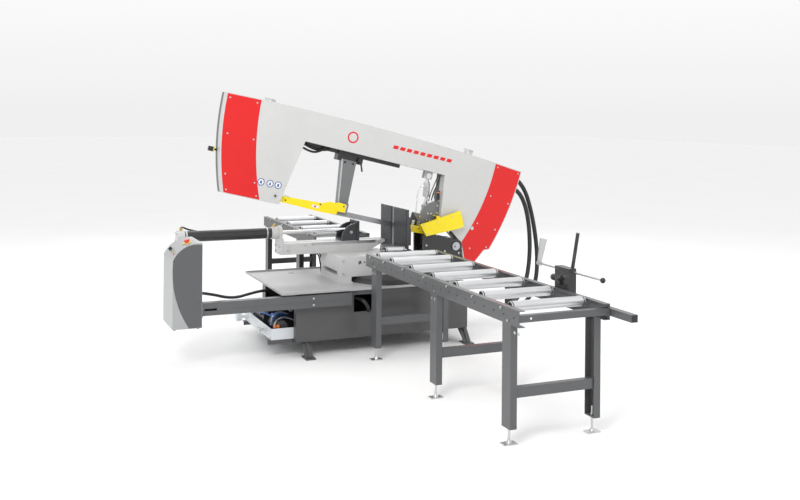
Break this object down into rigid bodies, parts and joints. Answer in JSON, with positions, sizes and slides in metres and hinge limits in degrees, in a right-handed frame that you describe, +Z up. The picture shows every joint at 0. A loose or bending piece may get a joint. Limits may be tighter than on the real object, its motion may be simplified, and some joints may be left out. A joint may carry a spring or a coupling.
{
  "type": "horizontal band saw",
  "caption": "Mitre-cutting horizontal band saw: tilting bow on a turntable over a chip tray, vise, hydraulic tray, console and roller tables on both sides.",
  "frame": {"origin": "centre of the four anchor holes of the base's feet, at floor level", "axes": "+Z up, +Y the way from the outfeed to the infeed table, +X along the bow towards its pivot"},
  "size_m": [3.3557, 5.236, 1.9814],
  "materials": {
    "dark_grey_paint": "satin",
    "light_grey_paint": "satin",
    "white_paint": "satin",
    "red_paint": "gloss",
    "yellow_paint": "satin",
    "black_paint": "satin",
    "blue_paint": "satin",
    "steel": "brushed",
    "chrome": "polished",
    "iron": "machined",
    "rubber": "matte",
    "red_plastic": "gloss",
    "green_plastic": "gloss",
    "black_plastic": "matte"
  },
  "bodies": {
    "machine": {"base_frame": "dark_grey_paint", "base_feet": "dark_grey_paint", "chip_tray": "light_grey_paint", "swivel_ring": "iron", "vise_pedestal": "light_grey_paint", "vise_beam": "light_grey_paint", "vise_end_fittings": "light_grey_paint", "vise_cylinder": "black_paint", "fixed_jaws": "steel", "table_frame": "light_grey_paint", "console_arm": "dark_grey_paint", "console_housing": "light_grey_paint", "console_conduit": "rubber", "outfeed_frame": "dark_grey_paint", "outfeed_legs": "dark_grey_paint", "infeed_frame": "dark_grey_paint", "stop_rail": "dark_grey_paint", "hardware": "steel"},
    "turntable": {"turntable": "black_paint", "bow_cradle": "black_paint", "pivot_pin": "steel", "hose_a": "rubber", "hose_b": "rubber"},
    "bow": {"bow_frame": "light_grey_paint", "blade": "steel", "drive_motor": "black_paint", "fixed_guide": "light_grey_paint", "fixed_guards": "yellow_paint"},
    "cover": {"bow_cover": "white_paint", "cover_bands": "red_paint"},
    "driver": {"drive_wheel": "iron"},
    "idler": {"idler_wheel": "iron"},
    "guide": {"guide_arm": "light_grey_paint", "guide_guard": "yellow_paint"},
    "tension": {"tension_knob": "black_plastic"},
    "lift_barrel": {"lift_cylinder": "black_paint"},
    "lift_piston": {"lift_rod": "chrome"},
    "jaw": {"moving_jaw": "light_grey_paint", "vise_rod": "chrome"},
    "tray": {"hydraulic_tray": "white_paint", "hydraulic_unit": "blue_paint"},
    "stop_slide": {"stop_carriage": "black_paint"},
    "lever": {"stop_lever": "black_paint"},
    "stop_bar": {"stop_rod": "steel"},
    "estop": {"emergency_stop": "red_plastic"},
    "selector": {"selector_knob": "black_plastic"},
    "start": {"start_button": "green_plastic"},
    "halt": {"stop_button": "red_plastic"},
    "inner_roller": {"table_roller": "steel"},
    "out_roller_1": {"outfeed_roller_1": "steel"},
    "out_roller_2": {"outfeed_roller_2": "steel"},
    "out_roller_3": {"outfeed_roller_3": "steel"},
    "out_roller_4": {"outfeed_roller_4": "steel"},
    "out_roller_5": {"outfeed_roller_5": "steel"},
    "out_roller_6": {"outfeed_roller_6": "steel"},
    "out_roller_7": {"outfeed_roller_7": "steel"},
    "in_roller_1": {"infeed_roller_1": "steel"},
    "in_roller_2": {"infeed_roller_2": "steel"},
    "in_roller_3": {"infeed_roller_3": "steel"},
    "in_roller_4": {"infeed_roller_4": "steel"}
  },
  "joints": [
    {"name": "mitre_swivel", "type": "hinge", "parent": "machine", "child": "turntable", "pos_m": [0.19, -0.078, 0.52], "axis": [0, 0, 1], "range_deg": [-45, 45]},
    {"name": "bow_tilt", "type": "hinge", "parent": "turntable", "child": "bow", "pos_m": [0.722, -0.078, 0.727], "axis": [0, -1, 0], "range_deg": [-15, 13.3], "deforming": ["hose_a", "hose_b"]},
    {"name": "cover_hinge", "type": "hinge", "parent": "bow", "child": "cover", "pos_m": [0.02636, -0.066, 1.72685], "axis": [-0.9732, 0, 0.23], "range_deg": [0, 90]},
    {"name": "drive_wheel_spin", "type": "hinge", "parent": "bow", "child": "driver", "pos_m": [0.91008, -0.078, 1.09665], "axis": [0, 1, 0], "continuous": true},
    {"name": "idler_wheel_spin", "type": "hinge", "parent": "bow", "child": "idler", "pos_m": [-0.96815, -0.078, 1.54064], "axis": [0, 1, 0], "continuous": true},
    {"name": "guide_slide", "type": "slide", "parent": "bow", "child": "guide", "axis": [0.9732, 0, -0.23], "range_m": [-0.06, 0.35]},
    {"name": "tension_screw", "type": "hinge", "parent": "bow", "child": "tension", "pos_m": [-1.26213, -0.0235, 1.54026], "axis": [0.9732, 0, -0.23], "continuous": true},
    {"name": "lift_pivot", "type": "hinge", "parent": "turntable", "child": "lift_barrel", "pos_m": [0.49, -0.038, 0.69], "axis": [0, -1, 0], "range_deg": [-14.01, 12.45]},
    {"name": "lift_stroke", "type": "slide", "parent": "lift_barrel", "child": "lift_piston", "axis": [0.0505, 0, 0.9987], "range_m": [-0.0538, 0.0605]},
    {"name": "vise_slide", "type": "slide", "parent": "machine", "child": "jaw", "axis": [1, 0, 0], "range_m": [-0.273, 0.227]},
    {"name": "tray_slide", "type": "slide", "parent": "machine", "child": "tray", "axis": [-1, 0, 0], "range_m": [0, 0.3]},
    {"name": "stop_travel", "type": "slide", "parent": "machine", "child": "stop_slide", "axis": [0, 1, 0], "range_m": [-0.4, 0.5]},
    {"name": "stop_rod_travel", "type": "slide", "parent": "stop_slide", "child": "stop_bar", "axis": [0, 1, 0], "range_m": [-0.2, 0.2]},
    {"name": "stop_lever_turn", "type": "hinge", "parent": "stop_slide", "child": "lever", "pos_m": [0.425, -2.333, 0.818], "axis": [1, 0, 0], "range_deg": [-30, 30]},
    {"name": "emergency_stop_push", "type": "slide", "parent": "machine", "child": "estop", "axis": [0.2952, 0, -0.9554], "range_m": [0, 0.004], "stiffness_N_per_m": 600, "springref_m": -0.003},
    {"name": "start_push", "type": "slide", "parent": "machine", "child": "start", "axis": [0.7863, 0, -0.6178], "range_m": [0, 0.003], "stiffness_N_per_m": 600, "springref_m": -0.003},
    {"name": "stop_push", "type": "slide", "parent": "machine", "child": "halt", "axis": [0.7863, 0, -0.6178], "range_m": [0, 0.003], "stiffness_N_per_m": 600, "springref_m": -0.003},
    {"name": "selector_turn", "type": "hinge", "parent": "machine", "child": "selector", "pos_m": [-1.64262, -0.31936, 0.8326], "axis": [-0.7542, 0, 0.6567], "range_deg": [-45, 45]},
    {"name": "outfeed_roller_1_spin", "type": "hinge", "parent": "machine", "child": "out_roller_1", "pos_m": [0.07, -2.64, 0.75], "axis": [1, 0, 0], "continuous": true},
    {"name": "outfeed_roller_2_spin", "type": "hinge", "parent": "machine", "child": "out_roller_2", "pos_m": [0.07, -2.295, 0.75], "axis": [1, 0, 0], "continuous": true},
    {"name": "outfeed_roller_3_spin", "type": "hinge", "parent": "machine", "child": "out_roller_3", "pos_m": [0.07, -1.95, 0.75], "axis": [1, 0, 0], "continuous": true},
    {"name": "outfeed_roller_4_spin", "type": "hinge", "parent": "machine", "child": "out_roller_4", "pos_m": [0.07, -1.605, 0.75], "axis": [1, 0, 0], "continuous": true},
    {"name": "outfeed_roller_5_spin", "type": "hinge", "parent": "machine", "child": "out_roller_5", "pos_m": [0.07, -1.26, 0.75], "axis": [1, 0, 0], "continuous": true},
    {"name": "outfeed_roller_6_spin", "type": "hinge", "parent": "machine", "child": "out_roller_6", "pos_m": [0.07, -0.915, 0.75], "axis": [1, 0, 0], "continuous": true},
    {"name": "outfeed_roller_7_spin", "type": "hinge", "parent": "machine", "child": "out_roller_7", "pos_m": [0.07, -0.653, 0.75], "axis": [1, 0, 0], "continuous": true},
    {"name": "infeed_roller_1_spin", "type": "hinge", "parent": "machine", "child": "in_roller_1", "pos_m": [-0.002, 0.762, 0.75], "axis": [1, 0, 0], "continuous": true},
    {"name": "infeed_roller_2_spin", "type": "hinge", "parent": "machine", "child": "in_roller_2", "pos_m": [-0.002, 1.157, 0.75], "axis": [1, 0, 0], "continuous": true},
    {"name": "infeed_roller_3_spin", "type": "hinge", "parent": "machine", "child": "in_roller_3", "pos_m": [-0.002, 1.552, 0.75], "axis": [1, 0, 0], "continuous": true},
    {"name": "infeed_roller_4_spin", "type": "hinge", "parent": "machine", "child": "in_roller_4", "pos_m": [-0.002, 1.947, 0.75], "axis": [1, 0, 0], "continuous": true},
    {"name": "inner_roller_spin", "type": "hinge", "parent": "machine", "child": "inner_roller", "pos_m": [0.09, -0.378, 0.75], "axis": [1, 0, 0], "continuous": true}
  ],
  "couplings": [
    {"joint": "idler_wheel_spin", "follows": "drive_wheel_spin", "ratio": 1},
    {"joint": "lift_pivot", "follows": "bow_tilt", "ratio": 0.9208},
    {"joint": "lift_stroke", "follows": "bow_tilt", "m_per_rad": -0.2273}
  ]
}
